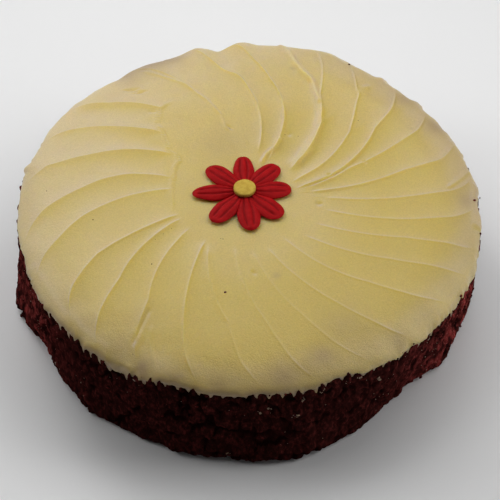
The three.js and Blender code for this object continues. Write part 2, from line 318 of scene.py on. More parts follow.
def build_sponge():
    angle = 360 * np.arange(SPONGE_COLUMNS) / SPONGE_COLUMNS
    rings, crumbs = zip(*(sponge_ring(angle, part) for part in SIDE_PARTS))
    rim, foot = (np.hypot(*ring[:, :2].T) for ring in (rings[0], rings[-1]))
    upper = [polar(part * rim, angle, SEAM_HEIGHT - GAP) for part in (0.5, 0.9)]
    lower = [polar(foot - inset, angle, height) for inset, height in UNDERSIDE]
    grid = np.stack([*upper, *rings, *lower])
    crumb = np.zeros(grid.shape[:2])
    crumb[len(upper) : -len(lower)] = crumbs
    # painted light on the flanks and back
    dust = np.broadcast_to(features(LIT_FLANKS, angle), crumb.shape)
    grid[..., :2] += AXIS
    body = closed_rings(grid, (*AXIS, SEAM_HEIGHT - GAP), (*AXIS, 0))
    return make_object("sponge_crumbly", body, crumb=[*crumb.ravel(), 0, 0], dust=[*dust.ravel(), 0, 0])


# ---- the knife's swirl
MIDWAY = 0.7
STROKES = [  # in the order of the names below it
    (-183.5, 62, 1.3, 47, 300, 0.39, 0.66, 0.12, 0.33),
    (-169.7, 45, 0.6, 50, 150, 0.36, 0.6, 0.12, 0.31),
    (-150.8, 18, 1.2, 38, 300, 0.33, 0.72, 0.2, 0.31),
    (-137, 44, 0.7, 28, 130, 0.51, 0.65, 0.2, 0.31),
    (-123.3, 48, 0.7, 22, 100, 0.42, 0.83, 0.1, 0.31),
    (-110, 25, 0, 26, 150, 0.48, 0.6, 0.15, 0.32),
    (-95, 55, 0, 24, 180, 0.5, 0.17, 0.08, 0.34),
    (-82.5, 40, 0.3, 27, 150, 0.2, 0.18, 0.08, 0.31),
    (-70.5, 36, 0, 32, 180, 0.2, 0.15, 0.05, 0.33),
    (-57.8, 40, 0, 34, 80, 0.16, 0.18, 0.08, 0.33),
    (-44, 44, 0.5, 34, 150, 0.12, 0.25, 0.08, 0.3),
    (-31.3, 37, 0, 30, 90, 0.15, 0.27, 0.08, 0.35),
    (-20.5, 30, 0, 20, 100, 0.12, 0.3, 0.08, 0.35),
    (-11.9, 22, 1, 26, 240, 0.1, 0.36, 0.1, 0.35),
    (-1.3, 20, 1, 21, 240, 0.15, 0.38, 0.12, 0.34),
    (11.4, 29, 0, 17, 230, 0.23, 0.55, 0.22, 0.28),
    (23.2, 28, 0, 26, 190, 0.33, 0.5, 0.24, 0.28),
    (34.1, 62, 0, 33, 120, 0.68, 0.63, 0.39, 0.22),
    (45, 61, 0, 52, 60, 0.42, 0.35, 0.34, 0.22),
    (60.5, 60, 0, 33, 60, 1.71, 0.2, 0.2, 0.24),
    (80.1, 60, 0.6, 44, 120, 1.17, 0.7, 0.39, 0.22),
    (91, 50, 0.6, 48, 0, 0.78, 0.5, 0.29, 0.24),
    (109.5, 45, 0.3, 30, 300, 0.15, 0.48, 0.1, 0.7),
    (127.3, 57, 0, 58, 100, 0.6, 0.88, 0, 0.64),
    (143.5, 50, 0, 45, 250, 0.78, 0.45, 0.1, 0.52),
    (159, 49, 0, 46, 150, 0.72, 0.56, 0.12, 0.39),
]
SWIRL_OFFSET = -1.3  # of the swirl's middle from the cake's axis, along X
NARROWEST_BAND = 3  # degrees that two neighbouring strokes keep apart
CREST_SLANT = 0.88  # a stroke's width square to its crest, for each mm round the cake
STEEP_SHARE = 0.55  # part of a crest's height that falls away close to it
FALL_AHEAD = 2.2  # mm over which a crest falls on its anticlockwise side
FALL_BEHIND = 3.5  # mm on the other side
CREST_ROUNDING = 0.5
HOLLOW_SINK = 0.35  # how far a stroke lies below the smooth dome, for each mm of its crests
LIP_WIDTH = 0.45
HIGHLIGHT_WIDTH = 0.7  # of the highlight painted as a paler line along a crest
HIGHLIGHT_FROM = 0.03  # the lowest lip that has that painted highlight
SAMPLES = 36  # points across one stroke
SAMPLE_CROWDING = 0.65  # how much closer they lie at a crest

# A crest passes ANGLE at the radius MIDWAY. It leans LEAN_IN degrees a radius inside that, eased by BEND,
# and LEAN_OUT outside it, and hooks forward by HOOK near the rim. It starts at the radius START, and rises
# RISE_IN mm near the middle and RISE_OUT mm near the rim, with a sharp lip of LIP mm.
ANGLE, LEAN_IN, BEND, LEAN_OUT, HOOK, RISE_IN, RISE_OUT, LIP, START = np.transpose(STROKES)


def crest_angles(radius):
    """Angle of every crest, and of the first one again a turn later, at each of a column of radii."""
    inside = np.clip(MIDWAY - radius, 0, 1)
    lean_in = -LEAN_IN * inside * (1 - BEND * inside)
    lean = np.where(radius < MIDWAY, lean_in, LEAN_OUT * (radius - MIDWAY))
    angle = ANGLE + lean + HOOK * np.clip(radius - 0.85, 0, 1) ** 2
    for k in range(len(STROKES) - 2, -1, -1):
        angle[:, k] = np.minimum(angle[:, k], angle[:, k + 1] - NARROWEST_BAND)
    return np.concatenate([angle, angle[:, :1] + 360], axis=1)


def crest_heights(radius):
    """Height of every crest at each of a column of radii, and of its lip."""
    begun = smoothstep(radius, START - 0.01, START + 0.05)
    far = facing(ANGLE, 60, 0.2, 0.7)  # there the crests run out to the rim
    ended = 1 - smoothstep(radius, 0.88, 0.98) * (1 - 0.7 * far)
    rise = lerp(RISE_IN, RISE_OUT, smoothstep(radius, 0.4, 0.9)) * begun * ended
    return rise, LIP * begun * (1 - smoothstep(radius, 0.9, 0.98))


def swirl(radii):
    """Angle and relief in mm of the frosting's grid, ring by ring, and 1 on the highlight painted along a
    crest.
    """
    crests = crest_angles(radii[:, None])
    rise, lip = crest_heights(radii[:, None])
    even = np.arange(SAMPLES) / SAMPLES
    share = even - SAMPLE_CROWDING * np.sin(2 * np.pi * even) / (2 * np.pi)
    start, width = crests[:, :-1, None], np.diff(crests, axis=1)[..., None]
    angle = start + width * share
    mm_per_degree = np.radians(1) * RIM_RADIUS * CREST_SLANT * radii[:, None, None]
    relief, crest_highlight = np.zeros_like(angle), np.zeros_like(angle)
    for step in (-1, 0, 1, 2):
        crest, height, sharp = np.roll([crests[:, :-1], rise, lip], -step, axis=2)[..., None]
        away = degrees_apart(angle, crest) * mm_per_degree
        soft = np.sqrt(away**2 + CREST_ROUNDING**2) - CREST_ROUNDING
        fall = np.where(away > 0, FALL_AHEAD, FALL_BEHIND)
        relief += STEEP_SHARE * height * np.exp(-soft / fall) + sharp * bell(away, LIP_WIDTH)
        # a paler line along each crest with a lip: a painted highlight
        crest_highlight += (sharp > HIGHLIGHT_FROM) * bell(away, HIGHLIGHT_WIDTH)
    between = lerp(rise[..., None], np.roll(rise, -1, axis=1)[..., None], share)
    relief += (1 - STEEP_SHARE) * between * (2 * share - 1) ** 2 - HOLLOW_SINK * between
    return tuple(field.reshape(len(radii), -1) for field in (angle, relief, crest_highlight))


# ---- frosting
INNER_RADII = [0.06, 0.12, 0.16, 0.178, 0.192, 0.206, 0.22, 0.234, 0.248, 0.262, 0.274]
SWIRL_RADII = np.concatenate([INNER_RADII, np.linspace(0.285, 0.968, 80)])
EDGE_STEPS = [0.13, 0.27, 0.42, 0.57, 0.72, 0.87, 1]  # along the curve on which the edge turns down
EDGE_SLOPE = 0.62  # of the top where that curve starts
WAIST, BACK_WAIST = 0.15, 2.6  # height of the edge's widest ring over the seam, and at the back
BACK_LIFT = 2.4  # how much fuller the edge is there
LIP_STAND = 0.15  # how far the edge stands out over the sponge's mean side
RAGGED = 0.6  # how far the little lumps along it stand out
RIM_TINT, SEAM_TINT = 0.18, 0.7  # how far the sponge shows through near the rim, and at the seam; at the front this tint is also painted shade on the edge
# The teeth: share of the way from the seam down to their ends, and how far they stand out.
TONGUE = [(0, 0.05), (0.35, 0), (0.7, 0), (1, -0.1), (1.15, -0.7), (1.4, -1.8)]

# Angles and radii of the raised start of the strokes at the back left, round the smooth, sunken disc.
DISC_EDGE = [
    (110, 0.66), (125.4, 0.652), (128.3, 0.616), (131.3, 0.58), (133.8, 0.51), (138.3, 0.442), (141.3, 0.418),
    (142, 0.36), (145.8, 0.334), (151.7, 0.328), (160, 0.322), (166.7, 0.31), (192, 0.304), (203, 0.33),
]
DISC_STEP = 0.32  # height of that start
WINDOW = (-0.2, 1)  # direction of the window, seen from above
SHADE_YELLOW = 8  # painted shade: how much yellower a slope is drawn that falls away from it
CREST_HIGHLIGHT = 0.35  # painted highlight: how much paler a crest's line is drawn
TOP_NOISE = [(9, 0.12, 41), (3.5, 0.06, 42), (1.2, 0.03, 43)]  # lumps all over the top: size, height, seed


def disc_relief(angle, radius):
    """The step from the sunken disc up to the strokes at the back left, in mm, and 1 on the highlight painted
    along it.
    """
    turned = angle % 360
    edge = np.interp(turned, *zip(*DISC_EDGE))
    past = (radius - edge) * RIM_RADIUS
    clear = smoothstep(turned, 118, 126) * (1 - smoothstep(turned, 180, 205))
    lip = bell(past - 0.6, 0.6) + 0.5 * smoothstep(past, -0.8, 1.2) * np.exp(-np.abs(past) / 9)
    return DISC_STEP * clear * lip, clear * bell(past - 0.5, 0.7)


# Marks on the frosting, in the swirl's own angles and parts of the rim's radius.
EXTRA_CRESTS = [  # (height mm, half-width mm, (angle, radius) along it), a scratch where it is negative
    (0.6, 1.4, [
        (38, 0.3), (43.5, 0.4), (49.5, 0.5), (55, 0.6), (60.4, 0.673), (65.8, 0.742), (70.9, 0.795),
        (75.5, 0.88), (79.5, 0.97),
    ]),
    (0.3, 0.8, [(4, 0.86), (5.4, 0.886), (7.9, 0.934), (10.4, 0.976)]),
    (0.24, 0.6, [(120, 0.93), (116.7, 0.867), (111, 0.75), (106, 0.605), (101.8, 0.476), (101, 0.387)]),
    (-0.4, 0.9, [(-120.8, 0.748), (-120, 0.82), (-119.2, 0.892)]),
    (0.21, 0.8, [(-117, 0.81), (-115.4, 0.868), (-113.3, 0.916), (-110.8, 0.976)]),
    (-0.9, 0.55, [(125, 0.81), (126.8, 0.83), (126.4, 0.85), (127.9, 0.87)]),
    (1.1, 0.8, [(65, 0.19), (65.4, 0.235), (63.3, 0.267), (61.3, 0.287), (62.2, 0.335)]),
    (0.5, 0.8, [(33, 0.293), (36, 0.325), (39.6, 0.378)]),
    (0.2, 1.6, [(-157, 0.965), (-140, 0.965), (-125, 0.965)]),
    (0.5, 1, [(-7, 0.968), (0, 0.968), (6, 0.968)]),
    (0.5, 0.9, [(59, 0.655), (65.8, 0.742), (70.9, 0.795), (75.5, 0.88), (79.5, 0.97)]),
]
HIGHLIGHT_CREST = 0.21  # a crest that rises more has a highlight painted along it
PITS = [  # (angle, radius, half-width mm, depth mm), a blister where it is negative
    (14.6, 0.375, 0.9, 0.6), (19, 0.55, 0.7, 0.5), (-84.5, 0.45, 0.7, 0.5), (119.6, 0.93, 0.8, 0.5),
    (50.6, 0.87, 1.2, -0.35), (60, 0.4, 0.8, 0.6), (-12, 0.32, 0.8, 0.5), (98.5, 0.4, 0.7, 0.6),
    (128.8, 0.66, 0.6, 0.4),
]
PATCHES = [  # (angle, radius, half-width mm, strength) where the frosting is thinner or duller and browner; the broad faint one behind the flower at 108 degrees is painted shade
    (-80.4, 0.933, 6, 0.39), (-69, 0.904, 4, 0.4), (-72.6, 0.888, 4, 0.24), (-114.6, 0.968, 3, 0.49),
    (-105.7, 0.99, 3.5, 0.42), (27, 0.95, 5, 0.35), (110, 0.98, 6, 0.6), (117, 0.975, 6, 0.65),
    (124, 0.97, 6, 0.5), (98, 1, 2.5, 0.6), (0, 0.93, 3.5, 0.25), (40, 0.95, 5, 0.28), (108, 0.3, 10, 0.25),
    (75, 0.38, 8, 0.12), (-60, 0.82, 9, 0.27), (-120, 0.78, 7, 0.15), (-73.8, 0.48, 1.6, 0.28),
    (74.3, 0.81, 1.2, 0.42), (-96, 0.97, 3, 0.24), (-50, 0.96, 3, 0.24),
]


def away_from_line(plan, places):
    """Distance in mm from each point to a line through places given by angle and radius."""
    corners = [polar(radius * RIM_RADIUS, angle) for angle, radius in places]
    nearest = np.full(plan.shape[:-1], np.inf)
    for start, end in zip(corners[:-1], corners[1:]):
        line = end - start
        along = np.clip((plan - start) @ line / (line @ line), 0, 1)
        off = plan - start - along[..., None] * line
        nearest = np.minimum(nearest, np.linalg.norm(off, axis=-1))
    return nearest


def round_spots(plan, spots):
    """Sum of soft round spots, each given by angle, radius, half-width in mm and strength."""
    total = np.zeros(plan.shape[:-1])
    for angle, radius, width, strength in spots:
        away = np.linalg.norm(plan - polar(radius * RIM_RADIUS, angle), axis=-1)
        total += strength * bell(away, width)
    return total


def marks_relief(plan):
    """The single crests, scratches, pits and blisters, in mm, and 1 where a highlight is painted along the
    crests.
    """
    relief, crest_highlight = -round_spots(plan, PITS), np.zeros(plan.shape[:-1])
    for height, width, places in EXTRA_CRESTS:
        ridge = bell(away_from_line(plan, places), width)
        relief += height * ridge
        crest_highlight += (height > HIGHLIGHT_CREST) * ridge
    return relief, crest_highlight


def behind(angle):
    """0 at the front of the cake and 1 at its back."""
    return facing(angle, 90, -0.05, 0.35)


def thin_side(angle):
    """1 at the front left, where the frosting's edge is thinnest and turned from the light, and less
    elsewhere: it scales the edge's tint, which there is partly painted shade.
    """
    return 0.2 + 0.8 * facing(angle, -112, 0.5, 0.95)


def painted_shade_right(angle, out):
    """Painted shade on the frosting towards its edge at the right and back right, 0 to 1."""
    return facing(angle, 28, 0.6, 0.95) * smoothstep(out, 0.78, 0.93)


def yellow_shade_and_sheen(angle, part, out):
    """Painted shade and sheen: the frosting is drawn yellower half-way out at the front, and paler, as if
    lit, along its edge, over the back half and at the left and right.
    """
    ring = smoothstep(part, 0.35, 0.6) * (1 - smoothstep(part, 0.82, 0.93))
    front = 0.5 + 0.5 * np.cos(np.radians(angle + 65))
    back = facing(angle, 85, -0.35, 0.3) * smoothstep(part, 0.45, 0.85)
    left = facing(angle, 148, 0, 0.8) * smoothstep(part, 0.3, 0.8)
    right = facing(angle, 20, 0, 0.8)
    edge = smoothstep(out, 0.84, 0.97)
    left_share = 0.55 + 0.2 * smoothstep(part, 0.72, 0.88)
    return 0.85 * ring * front - 0.45 * (back + edge) - left_share * left - 0.25 * right


def fall_to_window(grid):
    """How steeply each point of a grid of rings falls towards the window at the back."""
    outward = np.gradient(grid, axis=0)
    around = np.roll(grid, -1, axis=1) - np.roll(grid, 1, axis=1)
    normal = np.cross(outward, around)
    return normal @ (*WINDOW, 0) / normal[..., 2]


def frosting_top():
    """The swirled top out to where its edge turns down, where it is thinner and where it has painted shade,
    and how yellow it is drawn.
    """
    angle, relief, crest_highlight = swirl(SWIRL_RADII)
    part = SWIRL_RADII[:, None] * np.ones_like(angle)
    reach = rim_radius(angle) - SWIRL_OFFSET * np.cos(np.radians(angle))
    plan = polar(part * reach, angle) + (SWIRL_OFFSET, 0)
    out = np.hypot(plan[..., 0], plan[..., 1]) / rim_radius(angle)
    sag = smoothstep(out, 0.85, 1) * slide(angle) / 2
    place = polar(part * RIM_RADIUS, angle)
    lift = BACK_LIFT * behind(angle) * smoothstep(out, 0.84, 0.97)
    for more, line in (disc_relief(angle, part), marks_relief(place)):
        relief = relief + more
        crest_highlight = crest_highlight + line
    smooth = np.concatenate([plan, (SEAM_HEIGHT + dome_height(out) + lift + sag)[..., None]], axis=-1)
    grid = smooth + relief[..., None] * (0, 0, 1)
    # Painted shade and highlight: slopes falling away from the window are drawn yellower and crest lines
    # paler, and the slow painted shade and sheen is added.
    tilt = fall_to_window(grid) - fall_to_window(smooth)
    yellow = np.clip(-SHADE_YELLOW * tilt, -1.2, 1.2) - CREST_HIGHLIGHT * crest_highlight + yellow_shade_and_sheen(angle, part, out)
    # The edge's tint: thinning frosting, and painted shade at the front left and the right.
    rim_thin = thin_side(angle) * smoothstep(out, 0.87, 1) + 1.3 * painted_shade_right(angle, out)
    thin = round_spots(place, PATCHES) + RIM_TINT * rim_thin
    return grid, thin, yellow


def even_bearings(start):
    """The columns lie close together at the crests. On the way down they spread evenly over each stroke."""
    first = start.reshape(-1, SAMPLES)[:, :1]
    width = (np.roll(first, -1, axis=0) - first) % 360
    return (first + width * np.arange(SAMPLES) / SAMPLES).ravel()


def turned_edge(rim, start, even, thin_start):
    """Rings from the last one of the top down to where the edge stands out furthest, and how much brown is
    mixed in there, for thinning frosting and as painted shade.
    """
    inner = np.hypot(rim[:, 0], rim[:, 1])
    rings, thin = [], []
    for step in EDGE_STEPS:
        spread = 1 - (1 - step) ** 2
        bearing = start + spread * degrees_apart(even, start)
        waist = seam_line(bearing) + lerp(WAIST, BACK_WAIST, behind(bearing))
        outline = sponge_outline(bearing, 1) + LIP_STAND
        place = polar(outline, bearing, waist)
        outer = outline + lump_relief(place) + RAGGED * np.maximum(noise(place, 1.7, 37), 0)
        corner = np.maximum(rim[:, 2] - EDGE_SLOPE * (outer - inner), waist + 0.3)
        height = (1 - step) ** 2 * rim[:, 2] + 2 * step * (1 - step) * corner + step**2 * waist
        rings.append(polar(lerp(inner, outer, spread), bearing, height))
        thin.append(np.maximum(thin_start, lerp(RIM_TINT, SEAM_TINT, spread**2) * thin_side(bearing)))
    return rings, thin


def hanging_teeth(angle):
    """Rings from the seam down the teeth and in under the frosting, and how much brown is mixed in there,
    where the sponge shows through and as painted shade.
    """
    seam, end = seam_line(angle), tooth_ends(angle)
    rings, thin = [], []
    for share, stand in TONGUE:
        height = lerp(seam, end, share)
        outline = sponge_outline(angle, height / SEAM_HEIGHT) + stand
        place = polar(outline, angle, height)
        radius = outline + lump_relief(place) + 0.12 * noise(place, 2.5, 36)
        beyond = np.maximum(height - pleat_tips(angle), 0)
        bare = 1 - smoothstep(np.hypot(beyond, radius - sponge_side(angle, height)), 0, 0.9)
        rings.append(polar(radius, angle, height))
        thin.append(np.maximum(bare, SEAM_TINT * thin_side(angle)))
    for part in (0.9, 0.5):
        rings.append(polar(part * outline, angle, SEAM_HEIGHT))
        thin.append(np.zeros_like(angle))
    return rings, thin


def frosting_edge(rim, thin_start):
    """Rings that carry the top's last ring down over the pleats, and how much brown is mixed into the
    frosting there, for thinning and as painted shade.
    """
    start = np.degrees(np.arctan2(rim[:, 1], rim[:, 0]))
    even = even_bearings(start)
    rings, thin = turned_edge(rim, start, even, thin_start)
    teeth, teeth_thin = hanging_teeth(even)
    return np.stack(rings + teeth), np.stack(thin + teeth_thin)


def build_frosting():
    top, thin_top, yellow_top = frosting_top()
    top[..., 2] += sum(height * noise(top, size, seed) for size, height, seed in TOP_NOISE)
    edge, thin_edge = frosting_edge(top[-1], thin_top[-1])
    grid = np.concatenate([top, edge])
    thin = np.concatenate([thin_top, thin_edge])
    yellow = np.concatenate([yellow_top, np.broadcast_to(yellow_top[-1], thin_edge.shape)])
    grid[..., :2] += AXIS
    body = closed_rings(grid, (*AXIS, SEAM_HEIGHT + dome_height(0)), (*AXIS, SEAM_HEIGHT))
    thin, yellow = [*thin.ravel(), 0, 0], [*yellow.ravel(), 0, 0]
    return make_object("frosting_swirled", body, thin=thin, yellow=yellow), top.reshape(-1, 3)


# ---- sugar daisy
# Petals: direction in degrees, length and half-width in mm, the height in mm by which one long edge lies over
# the middle line, and a bluntness: the higher, the squarer the tip.
PETALS = [
    (5, 17.8, 4.5, 0.05, 3.2), (48, 18.9, 4.3, -0.05, 4.4), (92, 18.9, 4.2, 0, 2.4),
    (136.5, 19.3, 4.4, 0.05, 3.8), (181, 19.8, 4.3, -0.05, 2), (231, 19.3, 4.5, 0.05, 3.2),
    (277.5, 19.6, 4.5, 0, 3), (317, 18.8, 4.7, -0.05, 3.4),
]
PETAL_HEIGHT = 2.1  # at its hump, over the frosting
PETAL_TIP = 0.5  # share of that height lost by the tip
PETAL_EDGE, PETAL_LIFT = 0.5, 0.2  # height of its edge at the root, and how much more at the tip
PETAL_BELLY = 0.45  # how far its underside hangs below the edge
PETAL_BEND, PETAL_GRAIN = 0.15, 0.06  # its slow and its fine unevenness
GROOVE_AT, GROOVE_WIDTH, GROOVE_DEPTH = 0.36, 0.13, 0.5  # two grooves along a petal, leaving three ribs
HUB_RADIUS, HUB_HEIGHT = 5.4, 2.1
PETAL_STATIONS, PETAL_LANES = 44, 40


def petal_half_width(along, bluntness):
    """Share of the full half-width: narrow at the root, widest past the middle, round at the tip."""
    root = 0.32 + 0.68 * smoothstep(along, 0, 0.62)
    past = np.clip((along - 0.45) / 0.55, 0, 0.9995)
    return root * (1 - past**bluntness) ** (1 / 2.2)


def petal_surface(length, half_width, tilt, bluntness):
    """One petal along +X as rings from its root to its tip, and the shade painted in its grooves and at its
    root.
    """
    along = (1 - np.cos(np.pi * np.linspace(0.03, 1, PETAL_STATIONS)[:, None])) / 2
    turn = -np.pi * np.arange(2 * PETAL_LANES) / PETAL_LANES
    across, upper = np.cos(turn), np.sin(turn) > 0
    side = half_width * petal_half_width(along, bluntness) * across
    hump = smoothstep(along, 0, 0.25) * (1 - PETAL_TIP * smoothstep(along, 0.35, 1) ** 2)
    hump = hump * np.sqrt(1 - smoothstep(along, 0.9, 1.01) ** 2)
    round_edge = np.sqrt(np.maximum(1 - np.abs(across) ** 3.2, 0))
    crown = 0.7 + 0.3 * (1 - across**2)
    groove = bell(np.abs(across) - GROOVE_AT, GROOVE_WIDTH)
    groove = groove * smoothstep(along, 0.08, 0.3) * (1 - smoothstep(along, 0.82, 0.97))
    edge = PETAL_EDGE + PETAL_LIFT * along**2
    top = edge + (PETAL_HEIGHT * hump - PETAL_EDGE) * round_edge * crown - GROOVE_DEPTH * groove
    under = edge - PETAL_BELLY * round_edge * (1 - 0.5 * along)
    height = np.where(upper, top, under) + tilt * side / half_width
    painted_shade = np.maximum(groove, 0.8 * (1 - smoothstep(along, 0.1, 0.42)))
    grid = np.stack([length * along + 0 * side, side, np.maximum(height, 0.02)], axis=-1)
    return grid, np.where(upper, painted_shade, 0)


def placed_petal(grid, direction, seed):
    """The petal made uneven and turned to its direction."""
    own = grid + 40 * seed
    grid = grid + PETAL_BEND * shake(own, 4.5, 61) * (1, 1, 0.6)
    grid = grid + (0, 0, PETAL_GRAIN) * noise(own, 1.1, 64)[..., None]
    cosine, sine = polar(1, direction)
    return grid @ np.array([[cosine, sine, 0], [-sine, cosine, 0], [0, 0, 1]])


def lathe(profile, columns, roughness, size, seed):
    """A body turned about Z from (radius, height) pairs, with a noisy surface, as a grid of rings."""
    angle = 360 * np.arange(columns) / columns
    grid = np.stack([polar(radius, angle, height) for radius, height in profile])
    return grid + roughness * shake(grid, size, seed)


def joined(parts):
    """Points and faces of several bodies as one mesh."""
    points, faces, count = [], [], 0
    for body_points, body_faces in parts:
        points.append(np.asarray(body_points))
        faces += [tuple(index + count for index in face) for face in body_faces]
        count += len(body_points)
    return np.concatenate(points), faces


def on_flower(points, faces):
    """A body made round the origin, moved to the flower's place."""
    return points + (*FLOWER_MIDDLE, FLOWER_LOW[2]), faces


def build_flower():
    parts, painted_shade = [], []
    for seed, (direction, *shape) in enumerate(PETALS):
        grid, petal_shade = petal_surface(*shape)
        grid = placed_petal(grid, direction, seed)
        parts.append(closed_rings(grid, grid[0].mean(axis=0), grid[-1].mean(axis=0)))
        painted_shade += [*petal_shade.ravel(), 0, 0]
    hub = [(HUB_RADIUS * part, HUB_HEIGHT * np.sqrt(1 - part**2.5)) for part in np.linspace(0.1, 0.999, 14)]
    rings = lathe([*hub, (HUB_RADIUS * 0.9, 0)], 64, 0.1, 1.5, 65)
    parts.append(closed_rings(rings, (0, 0, HUB_HEIGHT), (0, 0, 0)))
    # shade painted on the hub, under the button
    painted_shade += [0.6] * len(parts[-1][0])
    return make_object("sugar_daisy", on_flower(*joined(parts)), groove=painted_shade)


BUTTON_INSET = 0.1  # inside the CAD's radius
BUTTON_LOWER = 0.1  # under the CAD's top
BUTTON_DOME = 0.35
BUTTON_ROUNDING = 0.6


def build_button():
    """The grainy yellow middle: a thick coin with a slightly domed top."""
    low, high = BUTTON_LOW[2] - FLOWER_LOW[2], BUTTON_HIGH[2] - FLOWER_LOW[2] - BUTTON_LOWER
    radius = (BUTTON_HIGH[0] - BUTTON_LOW[0]) / 2 - BUTTON_INSET
    flat = radius - BUTTON_ROUNDING
    profile = [(flat * part, high - BUTTON_DOME * part**2) for part in np.linspace(0.04, 1, 26)]
    for turn in np.radians(np.linspace(15, 90, 6)):
        height = high - BUTTON_DOME - BUTTON_ROUNDING * (1 - np.cos(turn))
        profile.append((flat + BUTTON_ROUNDING * np.sin(turn), height))
    profile += [(radius, lerp(profile[-1][1], low, part)) for part in (0.35, 0.7, 1)] + [(radius * 0.6, low)]
    grid = lathe(profile, 120, 0.045, 0.7, 71)
    points, faces = closed_rings(grid, (0, 0, high), (0, 0, low))
    foot = smoothstep(high - points[:, 2], 0.5, 1.3)
    return make_object("sugar_button", on_flower(points, faces), foot=foot)


# ---- crumbs, smears and specks
SPECKS = [  # dark crumbs on the frosting: (angle, radius) of the swirl, and size in mm
    (-97.7, 0.55, 1.1), (-167, 0.65, 0.5), (-133.6, 0.545, 0.5), (-109, 0.28, 0.35), (-107, 0.285, 0.35),
    (-143.8, 0.455, 0.3), (-144.4, 0.41, 0.3), (-145, 0.37, 0.3), (41, 0.68, 0.35), (98.5, 0.4, 0.4),
    (62, 0.39, 0.4), (177, 0.85, 0.4), (-183, 0.85, 0.35), (-118, 0.93, 0.35), (55, 0.42, 0.35),
    (59.6, 1.03, 1.2), (0.5, 1.01, 1.3),
]
SMEARS = [  # frosting on the side: (angle, height, width mm, height mm)
    (-77, 33, 1.4, 2.2), (-63, 35.5, 1.3, 2.6), (-57.6, 31, 1.4, 1.2), (-86.9, 29, 0.9, 1.3),
    (-84.4, 29.8, 1.2, 1.1), (-79, 25, 2, 1.1), (-84.8, 14, 1.1, 0.8), (-40.6, 31, 1.4, 1),
    (-95, 5, 1, 0.7), (-116, 36, 1, 1.4), (-72, 36, 1, 2.2), (-66.5, 36, 0.8, 1.4),
]
SMEAR_SHARES = (1, 0.6, 0.5, 0.35)  # each smear is a few blobs of these sizes
SIDE_CRUMBS, EDGE_CRUMBS = 420, 60
LARGEST_CRUMB = 1.7
CRUMB_SINK = 0.25  # share of its size that a crumb is sunk in the side
# Fine frosting flecks on the side: (middle angle, spread in degrees, lowest and highest share, count).
FLECKS = [
    (-70, 60, 0.05, 0.9, 70), (-42, 16, 0.02, 0.55, 50), (-24, 8, 0.1, 0.9, 40), (-158, 14, 0.1, 0.9, 40),
    (60, 70, 0.05, 0.9, 60),
]


def blob():
    """Points and faces of a small round body."""
    ball = bmesh.new()
    bmesh.ops.create_icosphere(ball, subdivisions=2, radius=1)
    points = np.array([vertex.co[:] for vertex in ball.verts])
    faces = [tuple(vertex.index for vertex in face.verts) for face in ball.faces]
    ball.free()
    return points, faces


def lumps(places, sizes, outward, seed):
    """Uneven bodies at places, each with its size (across, across, out) turned to face outward."""
    ball, faces = blob()
    parts = []
    for k, (place, size, normal) in enumerate(zip(places, sizes, outward)):
        uneven = 1 + 0.55 * noise(ball + 17.3 * k + seed, 0.9, 81)[:, None]
        turned = Vector(normal).to_track_quat("Z", "Y").to_matrix()
        parts.append(((ball * uneven * np.array(size) / 2) @ np.array(turned).T + place, faces))
    return joined(parts)


def side_places(angle, height):
    """Points on the crumbly side and the directions it faces there."""
    radius = sponge_side(angle, height)
    radius = radius + crumb_relief(polar(radius, angle, height))
    return polar(radius, angle, height) + (*AXIS, 0), polar(1, angle, 0)


def side_crumbs(dice):
    """Places, sizes and directions of crumbs that hang on the side."""
    angle = dice.uniform(-180, 180, SIDE_CRUMBS)
    height = SEAM_HEIGHT * dice.uniform(0.03, 0.93, SIDE_CRUMBS)
    size = LARGEST_CRUMB * dice.uniform(0.5, 1, SIDE_CRUMBS) ** 2
    places, outward = side_places(angle, height)
    return places - CRUMB_SINK * size[:, None] * outward, np.outer(size, (1, 0.8, 0.7)), outward


def edge_crumbs(dice):
    """The same for crumbs along the frosting's edge."""
    angle = dice.uniform(-180, 180, EDGE_CRUMBS)
    height = seam_line(angle) + dice.uniform(-0.5, 1.2, EDGE_CRUMBS)
    size = dice.uniform(0.4, 1, EDGE_CRUMBS)
    places = polar(rim_radius(angle) - 0.6, angle, height) + (*AXIS, 0)
    return places, np.outer(size, (1, 1, 0.8)), polar(1, angle, 0)


def top_specks(surface):
    """The same for the specks on the frosting, each at the nearest of its top's points."""
    places = []
    for angle, radius, _ in SPECKS:
        plan = polar(radius * RIM_RADIUS, angle) + (SWIRL_OFFSET, 0)
        places.append(surface[np.argmin(np.hypot(*(surface[:, :2] - plan).T))] + (*AXIS, 0))
    return places, np.outer([size for _, _, size in SPECKS], (1, 0.8, 0.5)), [(0, 0, 1)] * len(SPECKS)


def build_crumbs(surface):
    """Loose red crumbs on the side, along the frosting's edge and on its top, as one piece."""
    dice = np.random.default_rng(5)
    kinds = (side_crumbs(dice), edge_crumbs(dice), top_specks(surface))
    places, sizes, outward = (np.concatenate(column) for column in zip(*kinds))
    # the loose crumbs get a little of the painted light
    return make_object("crumbs_red", lumps(places, sizes, outward, 3), crumb=0, dust=0.3)


def build_smears():
    """Frosting smeared and flecked on the side, as one piece."""
    dice = np.random.default_rng(8)
    rows = []
    for middle, spread, low, high, count in FLECKS:
        for _ in range(count):
            size = dice.uniform(0.2, 0.4)
            place = (dice.normal(middle, spread), SEAM_HEIGHT * dice.uniform(low, high))
            rows.append((*place, size, size * dice.uniform(0.8, 2.2), size * 0.5))
    for middle, height, across, tall in SMEARS:
        for share in SMEAR_SHARES:
            place = (middle + dice.normal(0, 0.5), height + dice.normal(0, 0.8))
            rows.append((*place, across * share, tall * share, 0.6))
    rows = np.array(rows)
    places, outward = side_places(rows[:, 0], rows[:, 1])
    places = places - 0.3 * rows[:, 4:] * outward
    return make_object("smears_cream", lumps(places, rows[:, 2:], outward, 6), thin=1, yellow=0)


